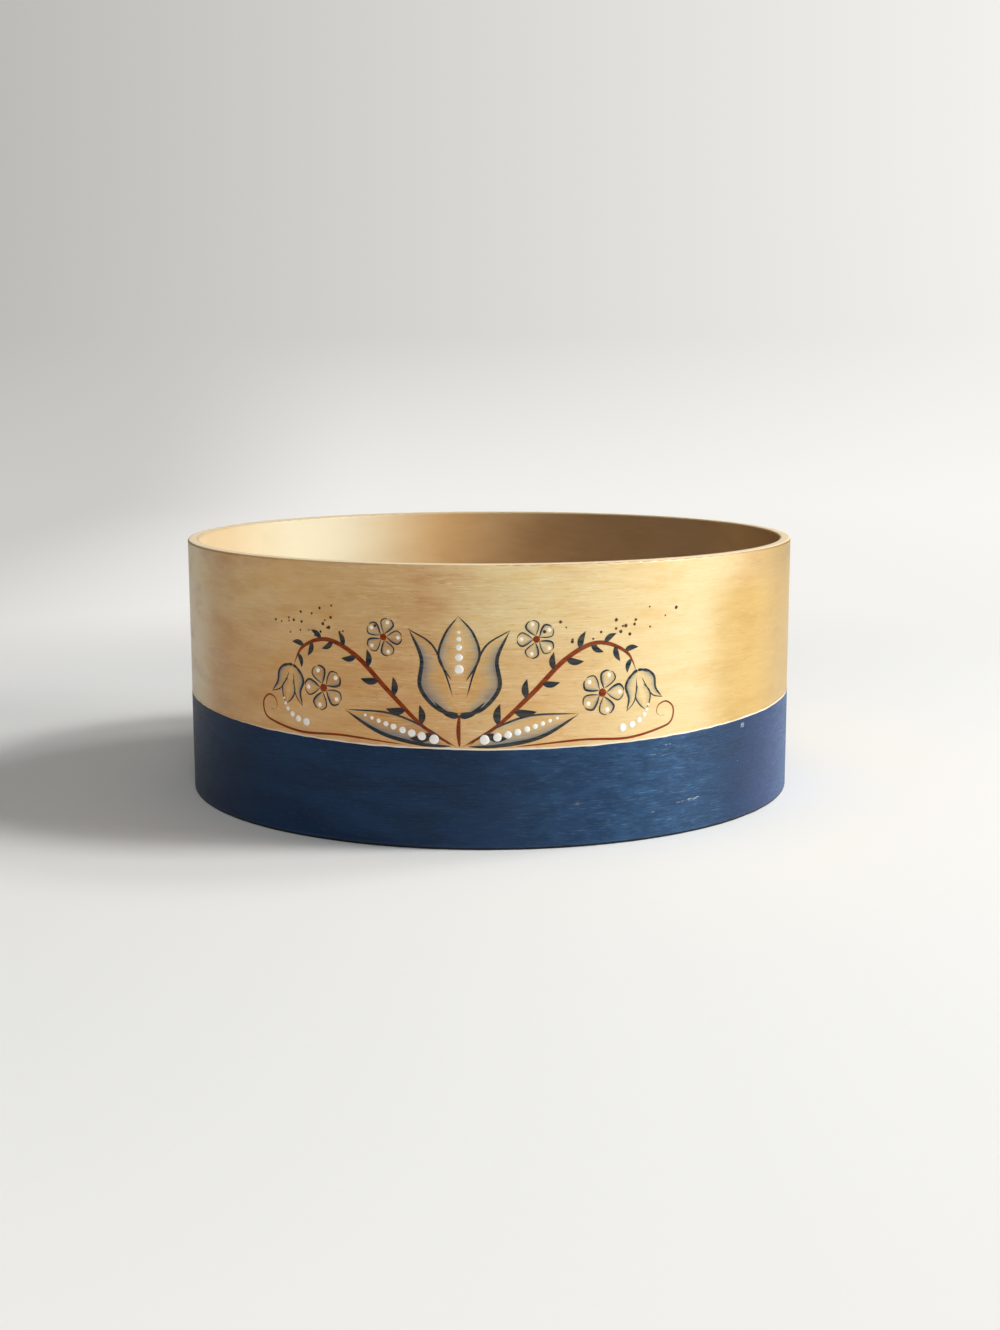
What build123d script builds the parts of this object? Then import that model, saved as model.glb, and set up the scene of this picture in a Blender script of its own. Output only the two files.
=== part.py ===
from build123d import *
import math
import os

# A round bentwood box without a lid, standing on its own lower edge.
#
# One thin strip of wood is bent into a ring. Its two ends are planed to long
# tapers and lapped over each other, so that the wall keeps one thickness, then
# glued and pegged. The base is three boards, dowelled edge to edge, cut round,
# dropped into the ring and held there by pegs driven in through the wall.
#
# Millimetres. +Z is up, the origin is on the floor at the middle of the box,
# and the decorated front faces -Y.

# The ring
outer_diameter = 250.0
wall_thickness = 4.5
body_height = 103.0
rim_rounding = 0.8
foot_rounding = 0.6

# The lap where the strip's ends meet, seen from above
lap_outer_tip_angle = 6.0
lap_length = 62.0
lap_tip_thickness = 0.7
glue_line = 0.15

# The base
base_thickness = 9.0
base_recess = 2.0
base_clearance = 0.1
middle_board_width = 88.0
board_glue_line = 0.1
base_chamfer = 1.0

# Dowels across the joints between the base boards
dowel_diameter = 4.0
dowel_length = 24.0
dowel_spacing = 110.0
dowel_clearance = 0.05
dowel_hole_relief = 0.5
dowel_chamfer = 0.4

# Pegs through the wall into the base, and through the lap
base_peg_count = 12
base_peg_diameter = 3.2
base_peg_length = 17.0
base_peg_relief = 0.6
lap_peg_count = 4
lap_peg_diameter = 2.6
lap_peg_margin = 13.0
peg_tip_chamfer = 0.4

outer_radius = outer_diameter / 2
inner_radius = outer_radius - wall_thickness
base_radius = inner_radius - base_clearance
base_top = base_recess + base_thickness
base_middle_height = base_recess + base_thickness / 2
joint_offset = (middle_board_width + board_glue_line) / 2

lap_inner_tip_angle = lap_outer_tip_angle - math.degrees(lap_length / outer_radius)
lap_middle_angle = (lap_outer_tip_angle + lap_inner_tip_angle) / 2
glue_line_angle = math.degrees(glue_line / outer_radius)

# How far a cutting tool runs out past the face that it opens
run_out = 1.0


def in_plan(radius, angle):
    """The point at a radius and an angle from +X, seen from above."""
    return Vector(radius, 0).rotate(Axis.Z, angle)


def facing_out(angle, height):
    """A plane that touches the outside of the wall, with its normal pointing out."""
    outward = in_plan(1, angle)
    return Plane(origin=outward * outer_radius + Vector(0, 0, height), z_dir=outward)


base_peg_seats = [facing_out(360 / base_peg_count * i, base_middle_height) for i in range(base_peg_count)]

lap_peg_low = base_top + lap_peg_margin
lap_peg_pitch = (body_height - lap_peg_margin - lap_peg_low) / (lap_peg_count - 1)
lap_peg_seats = [facing_out(lap_middle_angle, lap_peg_low + lap_peg_pitch * i) for i in range(lap_peg_count)]


# The bent strip, with its lap and the holes for its pegs
with BuildPart() as side_band:
    with BuildSketch() as ring_plan:
        Circle(outer_radius)
        Circle(inner_radius, mode=Mode.SUBTRACT)
    extrude(amount=body_height)
    fillet(side_band.edges().filter_by(GeomType.CIRCLE).group_by(Axis.Z)[-1], rim_rounding)
    fillet(side_band.edges().filter_by(GeomType.CIRCLE).group_by(Axis.Z)[0], foot_rounding)

    # The glue line slants through the wall from one blunt tip to the other
    with BuildSketch() as glue_plan:
        with BuildLine() as glue_outline:
            outer_tip = lap_outer_tip_angle
            inner_tip = lap_inner_tip_angle
            outer_tip_root = outer_radius - lap_tip_thickness
            inner_tip_root = inner_radius + lap_tip_thickness
            slant_middle = (outer_tip_root + inner_tip_root) / 2
            into_outer_tip = Line(in_plan(outer_radius + run_out, outer_tip), in_plan(outer_tip_root, outer_tip))
            under_outer_end = ThreePointArc(
                into_outer_tip @ 1,
                in_plan(slant_middle, lap_middle_angle),
                in_plan(inner_tip_root, inner_tip - glue_line_angle),
            )
            past_inner_tip = Polyline(
                under_outer_end @ 1,
                in_plan(inner_radius - run_out, inner_tip - glue_line_angle),
                in_plan(inner_radius - run_out, inner_tip),
                in_plan(inner_tip_root - glue_line, inner_tip),
            )
            over_inner_end = ThreePointArc(
                past_inner_tip @ 1,
                in_plan(slant_middle - glue_line, lap_middle_angle),
                in_plan(outer_tip_root - glue_line, outer_tip + glue_line_angle),
            )
            Polyline(
                over_inner_end @ 1,
                in_plan(outer_radius + run_out, outer_tip + glue_line_angle),
                into_outer_tip @ 0,
            )
        make_face()
    extrude(amount=body_height, mode=Mode.SUBTRACT)

    with Locations(*base_peg_seats):
        Hole(radius=base_peg_diameter / 2, depth=wall_thickness + run_out)
    with Locations(*lap_peg_seats):
        Hole(radius=lap_peg_diameter / 2, depth=wall_thickness + run_out)


# The base boards, which lie side by side with their grain along X
def base_board(low_edge, high_edge, dowelled_edges):
    """One board of the round base, between two straight edges, drilled for dowels and pegs."""
    with BuildPart() as board:
        with BuildSketch(Plane.XY.offset(base_recess)) as board_plan:
            Circle(base_radius)
            with Locations((0, (low_edge + high_edge) / 2)):
                Rectangle(outer_diameter, high_edge - low_edge, mode=Mode.INTERSECT)
        extrude(amount=base_thickness)
        curved_edges = board.edges().filter_by(GeomType.CIRCLE).group_by(Axis.Z)
        chamfer(curved_edges[0], base_chamfer)
        with Locations(*[Plane(origin=p, z_dir=d) for p, d in dowelled_edges]):
            Hole(radius=dowel_diameter / 2 + dowel_clearance, depth=dowel_length / 2 + dowel_hole_relief)
        with Locations(*base_peg_seats):
            Hole(radius=base_peg_diameter / 2, depth=base_peg_length + base_peg_relief)
    return board


def dowel_mouths(edge_y, outward_y):
    """Where the dowels enter a board's straight edge, each with the direction out of that edge."""
    return [
        (Vector(x, edge_y, base_middle_height), Vector(0, outward_y, 0))
        for x in (-dowel_spacing / 2, dowel_spacing / 2)
    ]


half_middle = middle_board_width / 2
side_edge = half_middle + board_glue_line
base_board_middle = base_board(
    -half_middle, half_middle, dowel_mouths(half_middle, 1) + dowel_mouths(-half_middle, -1)
)
base_board_front = base_board(-outer_radius, -side_edge, dowel_mouths(-side_edge, 1))
base_board_back = base_board(side_edge, outer_radius, dowel_mouths(side_edge, -1))


# The dowels that line the boards up, half in one board and half in the next
with BuildPart() as base_dowels:
    with Locations(
        *[
            Plane(origin=(x, y, base_middle_height), z_dir=(0, 1, 0))
            for x in (-dowel_spacing / 2, dowel_spacing / 2)
            for y in (-joint_offset, joint_offset)
        ]
    ):
        Cylinder(dowel_diameter / 2, dowel_length)
    chamfer(base_dowels.edges().filter_by(GeomType.CIRCLE), dowel_chamfer)


def flush_pegs(seats, diameter, length, pared_inside):
    """Round pegs along the given seats, pared off flush with the wall, outside or on both sides."""
    with BuildPart() as pegs:
        with Locations(*[seat.offset(-length) for seat in seats]):
            Cylinder(diameter / 2, length + run_out, align=(Align.CENTER, Align.CENTER, Align.MIN))
        with BuildSketch() as wall_plan:
            Circle(outer_radius)
            if pared_inside:
                Circle(inner_radius, mode=Mode.SUBTRACT)
        extrude(amount=body_height, mode=Mode.INTERSECT)
        if not pared_inside:
            chamfer(pegs.edges().filter_by(GeomType.CIRCLE), peg_tip_chamfer)
    return pegs


# The pegs that hold the base stop inside it, and those of the lap go right through
base_pegs = flush_pegs(base_peg_seats, base_peg_diameter, base_peg_length, pared_inside=False)
lap_pegs = flush_pegs(lap_peg_seats, lap_peg_diameter, wall_thickness + run_out, pared_inside=True)


os.makedirs("parts", exist_ok=True)
pieces = {
    "side_band": side_band,
    "base_board_front": base_board_front,
    "base_board_middle": base_board_middle,
    "base_board_back": base_board_back,
    "base_dowels": base_dowels,
    "base_pegs": base_pegs,
    "lap_pegs": lap_pegs,
}
for name, piece in pieces.items():
    piece.part.label = name
    export_step(piece.part, f"parts/{name}.step")
    print(name, len(piece.part.solids()), "solids", round(piece.part.volume), "mm3")
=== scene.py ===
# %% [markdown]
# # A round bentwood box with a painted band and ornament
#
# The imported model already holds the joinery: a bent strip, three base boards, dowels and pegs.
# This lesson gives it its looks. It keeps every wooden piece where the model has it, gives each
# one a procedural wood, and then does what a painter would do: a blue coat round the foot, a pale
# line along its edge, and an ornament of brush strokes laid on the wall.

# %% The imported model, which stays where it is
import math
import random

import bmesh
import bpy
from mathutils import Matrix, Vector, noise
from mathutils.geometry import interpolate_bezier


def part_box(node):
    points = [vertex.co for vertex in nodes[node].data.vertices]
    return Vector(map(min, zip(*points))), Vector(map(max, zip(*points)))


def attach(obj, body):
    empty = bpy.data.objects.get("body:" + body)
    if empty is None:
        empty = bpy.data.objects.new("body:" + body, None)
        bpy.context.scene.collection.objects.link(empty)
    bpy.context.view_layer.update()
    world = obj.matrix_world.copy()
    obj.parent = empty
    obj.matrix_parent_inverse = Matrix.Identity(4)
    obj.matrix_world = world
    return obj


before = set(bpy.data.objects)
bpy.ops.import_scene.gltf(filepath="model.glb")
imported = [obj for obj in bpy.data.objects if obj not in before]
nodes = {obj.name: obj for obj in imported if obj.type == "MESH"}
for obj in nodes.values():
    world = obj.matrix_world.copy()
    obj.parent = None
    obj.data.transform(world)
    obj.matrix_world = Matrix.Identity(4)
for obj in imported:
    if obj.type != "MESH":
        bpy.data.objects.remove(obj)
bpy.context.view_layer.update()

MM = 0.001
print("pieces in the model:", ", ".join(sorted(nodes)))

# %% [markdown]
# ## Sizes
#
# Whatever can be read off the model is read off it, so the looks follow the joinery. The few
# values that a box of corners can't tell, such as how far the strip's ends lap, are named here.

# %% Sizes, in metres
outer_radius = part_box("side_band")[1].x
body_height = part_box("side_band")[1].z
wall_thickness = 4.5 * MM
inner_radius = outer_radius - wall_thickness
lap_length = 62 * MM
lap_outer_tip = math.radians(6.0)
lap_inner_tip = lap_outer_tip - lap_length / outer_radius
lap_tip_thickness = 0.7 * MM
glue_thickness = 0.15 * MM
print(f"ring {outer_radius * 2 / MM:.0f} mm across and {body_height / MM:.0f} mm high")

# %% [markdown]
# ## Camera
#
# The picture was taken from a little above the rim, from about three box-widths away. The long
# side of Blender's frame takes the sensor's 36 mm, so the focal length follows from the angle
# that the box fills. A Track To constraint would aim the camera too; plain angles say more.

# %% The camera
camera_data = bpy.data.cameras.new("camera")
camera_data.lens = 46.88
camera = bpy.data.objects.new("camera", camera_data)
camera_place = (0.00014, -0.7281, 0.1666)
camera_pitch = math.radians(9.335)
camera_yaw = math.radians(0.33)
camera_roll = math.radians(-0.13)
camera.matrix_world = (
    Matrix.Translation(camera_place)
    @ Matrix.Rotation(-camera_yaw, 4, "Z")
    @ Matrix.Rotation(math.radians(90) - camera_pitch, 4, "X")
    @ Matrix.Rotation(camera_roll, 4, "Z")
)
bpy.context.scene.collection.objects.link(camera)
bpy.context.scene.camera = camera
bpy.context.scene.view_settings.view_transform = "Standard"
print("camera", [round(c, 4) for c in camera.matrix_world.translation])

# %% [markdown]
# ## Helpers for materials
#
# Colours are picked as the hex values that a paint card or an eye-dropper gives, and one function
# turns them to the linear light that shaders work in. Another adds a node, sets it and links it,
# so a material reads from top to bottom like a recipe. The last two are steps of a painter's own:
# laying coats over a ground, and giving the finished surface its relief.

# %% Colour, nodes, coats and surface
FACTOR, COLOUR_A, COLOUR_B, MIXED = 0, 6, 7, 2


def paint_card(hex_colour):
    """An sRGB hex colour as linear RGBA."""
    channels = [int(hex_colour[i:i + 2], 16) / 255 for i in (1, 3, 5)]
    linear = [c / 12.92 if c <= 0.04045 else ((c + 0.055) / 1.055) ** 2.4 for c in channels]
    return (*linear, 1.0)


def add(tree, kind, inputs=(), **settings):
    """Adds one shader node. inputs holds values and other nodes' outputs, as a list in the order
    of the sockets or as a dictionary that names them. For a Map Range, the list is the value, the
    two ends that it runs between, and the two ends it is mapped to, 0 and 1 if left out."""
    node = tree.nodes.new("ShaderNode" + kind)
    for name, value in settings.items():
        setattr(node, name, value)
    for socket, value in inputs.items() if isinstance(inputs, dict) else enumerate(inputs):
        if isinstance(value, bpy.types.NodeSocket):
            tree.links.new(value, node.inputs[socket])
        else:
            node.inputs[socket].default_value = value
    return node.outputs


def new_material(name):
    """An empty material and its node tree."""
    material = bpy.data.materials.new(name)
    material.use_nodes = True
    material.node_tree.nodes.clear()
    return material, material.node_tree


def coated(tree, tone, coats):
    """A tone under coats of colour, the first lowest. After its colour, a coat lists the amounts
    between 0 and 1 that hold it back, and covers by their product."""
    for colour, cover, *masks in coats:
        for mask in masks:
            cover = add(tree, "Math", [cover, mask], operation="MULTIPLY")[0]
        tone = add(tree, "Mix", {
            FACTOR: cover, COLOUR_A: tone, COLOUR_B: paint_card(colour),
        }, data_type="RGBA")[MIXED]
    return tone


def surface(tree, relief, relief_depth, finish):
    """Ends a material with the finish of its surface, whose 0-to-1 relief is so many metres deep."""
    normal = add(tree, "Bump", {"Strength": 1.0, "Distance": relief_depth, "Height": relief})[0]
    shader = add(tree, "BsdfPrincipled", {**finish, "Normal": normal})["BSDF"]
    add(tree, "OutputMaterial", [shader])


print("navy on the card:", [round(c, 3) for c in paint_card("#1D3049")])

# %% [markdown]
# ## The studio
#
# A sweep is a floor that curves up into a backdrop, so no line shows behind the box. Here its
# profile is spun into a wide bowl, which looks the same from every side. The bowl is cut in two:
# the floor takes part in all the light, while the rising backdrop is there for the camera alone,
# so that it neither shuts out the sky nor throws light of its own on the box.

# %% Floor and backdrop in one sweep
floor_radius = 1.6
sweep_radius = 0.7
backdrop_height = 2.6
sweep_bm = bmesh.new()
corner = sweep_bm.verts.new((floor_radius, 0, 0))
bmesh.ops.spin(
    sweep_bm, geom=[corner], cent=(floor_radius, 0, sweep_radius), axis=(0, -1, 0),
    angle=math.radians(90), steps=12,
)
sweep_bm.verts.ensure_lookup_table()
top = max(sweep_bm.verts, key=lambda vert: vert.co.z)
raised = bmesh.ops.extrude_vert_indiv(sweep_bm, verts=[top])["verts"][0]
raised.co.z = backdrop_height
middle = bmesh.ops.extrude_vert_indiv(sweep_bm, verts=[corner])["verts"][0]
middle.co.x = 0
bmesh.ops.spin(
    sweep_bm, geom=sweep_bm.verts[:] + sweep_bm.edges[:], cent=(0, 0, 0), axis=(0, 0, 1),
    angle=math.radians(360), steps=96, use_merge=True,
)
bmesh.ops.remove_doubles(sweep_bm, verts=sweep_bm.verts, dist=0.1 * MM)
bmesh.ops.recalc_face_normals(sweep_bm, faces=sweep_bm.faces)
bmesh.ops.reverse_faces(sweep_bm, faces=sweep_bm.faces)


def is_floor(face):
    """Whether a face of the sweep lies flat on the ground."""
    return max(vert.co.z for vert in face.verts) < MM


def new_object(name, bm):
    """An object of a bmesh, smooth all over, in the scene."""
    for face in bm.faces:
        face.smooth = True
    mesh = bpy.data.meshes.new(name)
    bm.to_mesh(mesh)
    bm.free()
    made = bpy.data.objects.new(name, mesh)
    bpy.context.scene.collection.objects.link(made)
    return made


def stage_part(name, wanted):
    """A stage object of the sweep's faces that are wanted."""
    bm = sweep_bm.copy()
    bmesh.ops.delete(bm, geom=[face for face in bm.faces if not wanted(face)], context="FACES")
    part = new_object(name, bm)
    return part


floor = stage_part("studio_floor", is_floor)
backdrop = stage_part("studio_backdrop", lambda face: not is_floor(face))
backdrop.visible_diffuse = backdrop.visible_glossy = backdrop.visible_shadow = False
sweep_bm.free()
print("floor faces", len(floor.data.polygons), "normal", floor.data.polygons[0].normal[:])

# %% [markdown]
# ### The painted sweep
#
# Near the box the sweep is a matt, nearly white floor that takes its shadow. Further off it shows
# the camera a plain tone, painted shade from grey on the left to nearly white on the right, as the
# window's light would fall off. More light could make that tone as well, but it would also fall on
# the box.

# %% Sweep material, with its distances in metres
sweep_material, tree = new_material("painted_studio_sweep")
place = add(tree, "TexCoord")["Object"]
axis = add(tree, "SeparateXYZ", [place])
# painted shade: the far tone darkens from right to left, as the window's light would
left_tone = add(tree, "MapRange", [axis["X"], -0.55, -0.15, 0.60, 0.87], interpolation_type="SMOOTHSTEP")[0]
right_tone = add(tree, "MapRange", [axis["X"], -0.15, 0.66, 0.0, 0.085])[0]
low_tone = add(tree, "Math", [left_tone, right_tone], operation="ADD")[0]
high_tone = add(tree, "MapRange", [axis["X"], -0.85, 0.85, 0.49, 0.90])[0]
up_the_sweep = add(tree, "MapRange", [axis["Z"], 0.0, 0.24])[0]
far_tone = add(tree, "Mix", {FACTOR: up_the_sweep, 2: low_tone, 3: high_tone}, data_type="FLOAT")[0]
warm_white = (1.0, 0.983, 0.948)
far_colour = add(tree, "VectorMath", {0: warm_white, "Scale": far_tone}, operation="SCALE")[0]
mottle = add(tree, "TexNoise", {"Vector": place, "Scale": 3.0, "Detail": 2.0})[0]
near_colour = coated(tree, paint_card("#F1F1EE"), [("#F4F4F1", mottle)])
lit = add(tree, "BsdfPrincipled", {"Base Color": near_colour, "Roughness": 0.9})["BSDF"]
plain = add(tree, "Emission", {"Color": far_colour})[0]
reach = add(tree, "VectorMath", [place], operation="LENGTH")["Value"]
far = add(tree, "MapRange", [reach, 0.28, 0.62], interpolation_type="SMOOTHSTEP")[0]
rays = add(tree, "LightPath")
seen = add(tree, "Math", [rays["Is Camera Ray"], rays["Is Glossy Ray"]], operation="ADD")[0]
seen = add(tree, "Math", [seen, rays["Is Transmission Ray"]], operation="ADD", use_clamp=True)[0]
seen_far = add(tree, "Math", [far, seen], operation="MULTIPLY")[0]
add(tree, "OutputMaterial", [add(tree, "MixShader", [seen_far, lit, plain])[0]])
for part in (floor, backdrop):
    part.data.materials.append(sweep_material)
print("sweep material:", len(tree.nodes), "nodes")

# %% [markdown]
# ## Light
#
# Daylight comes in from the right, as through a tall window: its lower part gives the varnish its
# sheen where the wall turns halfway between window and camera, and its higher part lights the
# floor and draws the shadow. A second window stands further back. A weak sky and a weak lamp in
# front do the rest. A picture of a real sky could light the box in one step, but four lamps can
# each be moved until the sheen and the shadow fall where they should.

# %% Lamps and sky
def soft_box(name, azimuth, elevation, distance, width, height, power):
    """A white lamp that faces the box. Azimuth 0 is on the right and -90 at the camera."""
    data = bpy.data.lights.new(name, "AREA")
    data.shape = "RECTANGLE"
    data.size, data.size_y = width, height
    data.energy = power
    lamp = bpy.data.objects.new(name, data)
    turn, lift = math.radians(azimuth), math.radians(elevation)
    out = Vector((math.cos(turn) * math.cos(lift), math.sin(turn) * math.cos(lift), math.sin(lift)))
    lamp.location = Vector((0, 0, body_height / 2)) + out * distance
    lamp.rotation_mode = "QUATERNION"
    lamp.rotation_quaternion = out.to_track_quat("Z", "Y")
    lamp.visible_camera = False
    bpy.context.scene.collection.objects.link(lamp)


soft_box("window_low", -10, 14, 2.4, 0.9, 0.7, 34)
soft_box("window_high", -5, 44, 2.4, 0.5, 0.4, 27)
soft_box("window_behind", 20, 44, 2.4, 0.5, 0.4, 12)
soft_box("fill", -88, 25, 2.0, 0.8, 0.8, 9)
world = bpy.data.worlds.new("studio_air")
world.use_nodes = True
sky = world.node_tree
upward = add(sky, "SeparateXYZ", [add(sky, "TexCoord")["Generated"]])["Z"]
overhead = add(sky, "MapRange", [upward, 0.35, 0.65, 0.0, 0.28], interpolation_type="SMOOTHSTEP")[0]
sky.links.new(overhead, sky.nodes["Background"].inputs["Strength"])
sky.nodes["Background"].inputs["Color"].default_value = paint_card("#FFFFFF")
bpy.context.scene.world = world

# %% [markdown]
# ## The bent strip
#
# The wall is one strip of birch, planed thin, soaked or steamed, and bent round until its ends lap.
# Its grain runs along the strip, so on the finished ring it runs round. A pattern in plain X, Y and
# Z would cut through the ring like a log. Instead the material unrolls the ring again: the angle
# about Z becomes millimetres along the strip. The strip starts and ends at the lap, on the outer
# face at one angle and on the inner face at another, so the seam of the pattern falls there too.

# %% Unrolling the ring inside a material
def strip_millimetres(tree):
    """Millimetres on the bent strip: a vector of the three, and along, through and across it."""
    place = add(tree, "TexCoord")["Object"]
    axis = add(tree, "SeparateXYZ", [place])
    angle = add(tree, "Math", [axis["Y"], axis["X"]], operation="ARCTAN2")[0]
    flat = add(tree, "VectorMath", [place, (1, 1, 0)], operation="MULTIPLY")[0]
    radius = add(tree, "VectorMath", [flat], operation="LENGTH")["Value"]
    turns = []
    for tip, start in ((lap_inner_tip, lap_outer_tip - lap_inner_tip), (lap_outer_tip, 0)):
        past_tip = add(tree, "Math", [tip, angle], operation="SUBTRACT")[0]
        turn = add(tree, "Math", [past_tip, 2 * math.pi], operation="FLOORED_MODULO")[0]
        turns.append(add(tree, "Math", [turn, start], operation="ADD")[0])
    glue_radius = add(tree, "MapRange", [
        angle, lap_inner_tip, lap_outer_tip,
        inner_radius + lap_tip_thickness, outer_radius - lap_tip_thickness,
    ])[0]
    on_outer_layer = add(tree, "Math", [radius, glue_radius], operation="GREATER_THAN")[0]
    turn = add(tree, "Mix", {FACTOR: on_outer_layer, 2: turns[0], 3: turns[1]}, data_type="FLOAT")[0]
    along = add(tree, "Math", [turn, outer_radius / MM], operation="MULTIPLY")[0]
    through = add(tree, "Math", [radius, 1 / MM], operation="MULTIPLY")[0]
    across = add(tree, "Math", [axis["Z"], 1 / MM], operation="MULTIPLY")[0]
    return add(tree, "CombineXYZ", [along, through, across])[0], along, through, across


print(f"the strip is {2 * math.pi * outer_radius / MM:.0f} mm long outside, and its lap besides")

# %% [markdown]
# ### Patterns of a real size
#
# Everything in wood has a size: a line of fibres runs for a centimetre or so, and a cloud in the
# varnish spreads over four. Blender's noise takes a scale instead, which says nothing about wood. So
# the first helper takes the size of a blob in millimetres. The second describes what changes from
# place to place, in soft steps.

# %% Grain, and changes from place to place
def grain(tree, place, size, detail=2.0, low=None, high=None):
    """Noise whose blobs have the given size in mm along, through and across the strip.
    With low and high, it is stretched to run from 0 to 1 between them."""
    scaled = add(tree, "VectorMath", [place, [1 / s for s in size]], operation="MULTIPLY")[0]
    value = add(tree, "TexNoise", {"Vector": scaled, "Scale": 1.0, "Detail": detail, "Roughness": 0.55})[0]
    if low is None:
        return value
    return add(tree, "MapRange", [value, low, high], interpolation_type="SMOOTHSTEP")[0]


def changes(tree, value, steps):
    """A value that changes softly in steps, each from one place to another by an amount."""
    total = 0.0
    for first, last, amount in steps:
        step = add(tree, "MapRange", [value, first, last, 0.0, amount], interpolation_type="SMOOTHSTEP")[0]
        total = add(tree, "Math", [total, step], operation="ADD")[0]
    return total


birch = bpy.data.node_groups.new("varnished birch strip", "ShaderNodeTree")
birch.interface.new_socket("Colour", in_out="OUTPUT", socket_type="NodeSocketColor")
for output_name in ("Roughness", "Relief", "Fibre"):
    birch.interface.new_socket(output_name, in_out="OUTPUT", socket_type="NodeSocketFloat")
print("the birch group gives", [item.name for item in birch.interface.items_tree])

# %% [markdown]
# ### The figure of birch
#
# Birch has a fine, even texture: hair-thin fibres, short dark pores, pale flecks, and broad waves
# where the strip cuts through the growth rings. Each is a layer of its own with a real size, which
# an all-in-one wood texture couldn't give. Fibres and pores are drawn coarser than life, to show at
# all. They are built once, as a node group, because the paint lets the same wood show through.

# %% Layers of figure, from broad to fine
strip, along, through, across = strip_millimetres(birch)
blotch = grain(birch, strip, (46, 30, 20), 2.0, low=0.36, high=0.66)
warm_patch = grain(birch, strip, (22, 18, 8), 3.0, low=0.46, high=0.70)
drift = grain(birch, strip, (90, 40, 22), 1.0)
fibre = grain(birch, strip, (13, 4, 0.80), 3.0)
fibre_lines = add(birch, "MapRange", [fibre, 0.35, 0.68])[0]
pores = grain(birch, strip, (4.5, 2, 0.40), 2.0, low=0.62, high=0.73)
flecks = grain(birch, strip, (4.5, 2, 0.45), 1.0, low=0.58, high=0.72)
silk = grain(birch, strip, (7.0, 4, 0.50), 2.0, low=0.54, high=0.72)
blush = grain(birch, strip, (22, 16, 8), 3.0, low=0.48, high=0.70)

# Growth rings: even waves across the strip, bent by the slow drift of the grain
rings_per_mm = 1 / 7.5
drift_in_rings = 7.0
ring_phase = add(birch, "Math", [across, rings_per_mm], operation="MULTIPLY")[0]
bent_phase = add(birch, "Math", [drift, drift_in_rings, ring_phase], operation="MULTIPLY_ADD")[0]
ring_turn = add(birch, "Math", [bent_phase, 2 * math.pi], operation="MULTIPLY")[0]
ring_wave = add(birch, "Math", [ring_turn], operation="SINE")[0]
ring_line = add(birch, "MapRange", [ring_wave, -0.6, 1.0])[0]
print("figure:", len(birch.nodes), "nodes so far")

# %% [markdown]
# ### Honey varnish, and the life of the strip
#
# The strip was planed from a board whose one end lay near the heart of the tree, and that end is
# also painted a darker gold, as painted shade where the window lights the wall most. Its varnish
# has gone honey-coloured and is warmer towards the foot, where it ran down and gathered. Paler
# steps of sapwood are partly painted highlight where the sheen falls, and the outer face is painted
# paler round its left edge, a painted reflection. The inner face was scraped smooth and never
# varnished; on it one end is painted darker, as painted shade, and a stretch is painted paler, as
# painted sheen. A painted mask could say where all this lies. Steps in millimetres along and across
# the strip are easier to move, and need no picture.

# %% Colours by place, in millimetres along and across
outer_face = add(birch, "MapRange", [through, inner_radius / MM + 0.2, inner_radius / MM + 0.9])[0]
inner_face = add(birch, "Math", [1.0, outer_face], operation="SUBTRACT")[0]
# heart-end gold, and painted shade: the strip's right end is painted darker where the window lights the wall
# most
heart_end_and_painted_shade = changes(birch, along, [(148, 44, 1.0)])
# sapwood, and painted highlight and reflection: paler where the sheen falls and round the left edge
sapwood_and_painted_sheen = changes(birch, along, [(236, 202, 0.72), (118, 92, -0.72), (335, 385, 0.80), (560, 740, -0.55)])
knotty = changes(birch, along, [(212, 244, 0.26), (256, 292, -0.26)])
warm_part = changes(birch, along, [(150, 190, 1.0)])
warm_low = changes(birch, across, [(88, 60, 0.38)])
pooled_part = changes(birch, along, [(130, 106, 1.0), (94, 70, -0.65)])
pooled_low = changes(birch, across, [(98, 84, 0.85)])
# painted reflection: the outer face is painted paler round the left edge, where it turns from the light
painted_edge_reflection = changes(birch, along, [(328, 360, 0.95), (400, 460, -0.95)])
# painted shade: one end of the inner face is painted darker
painted_inner_shade = changes(birch, along, [(550, 676, 0.95), (714, 750, -0.22)])
# painted sheen: a stretch of the inner face, lit from the right, is painted paler
pale = changes(birch, along, [(590, 520, 0.95), (500, 430, -0.50)])
rosy_part = changes(birch, along, [(130, 240, 0.32)])
tone = coated(birch, paint_card("#DFB373"), [
    ("#E9C184", blotch), ("#ECD59A", sapwood_and_painted_sheen, outer_face), ("#BC8C4C", knotty, outer_face),
    ("#A27F2E", heart_end_and_painted_shade), ("#D89238", warm_low, warm_part, outer_face),
    ("#C59E42", pooled_low, pooled_part, outer_face), ("#FFE4B4", painted_edge_reflection, outer_face),
    ("#8C6D4B", painted_inner_shade, inner_face), ("#E4DDBB", pale, inner_face), ("#C88B58", blush, rosy_part, outer_face),
])
print("colours:", len(birch.nodes), "nodes so far")

# %% [markdown]
# ### How deep the figure goes
#
# Figure makes any of these colours deeper where it is dark and paler where it is light. Mixing in
# a brown would grey them. A gamma does what a stain does: above 1 it darkens and warms, below 1 it
# lightens and cools. The fine figure stands out most in the middle of the front, where hands have
# polished it, and least on the inner face and near the heart.

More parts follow.
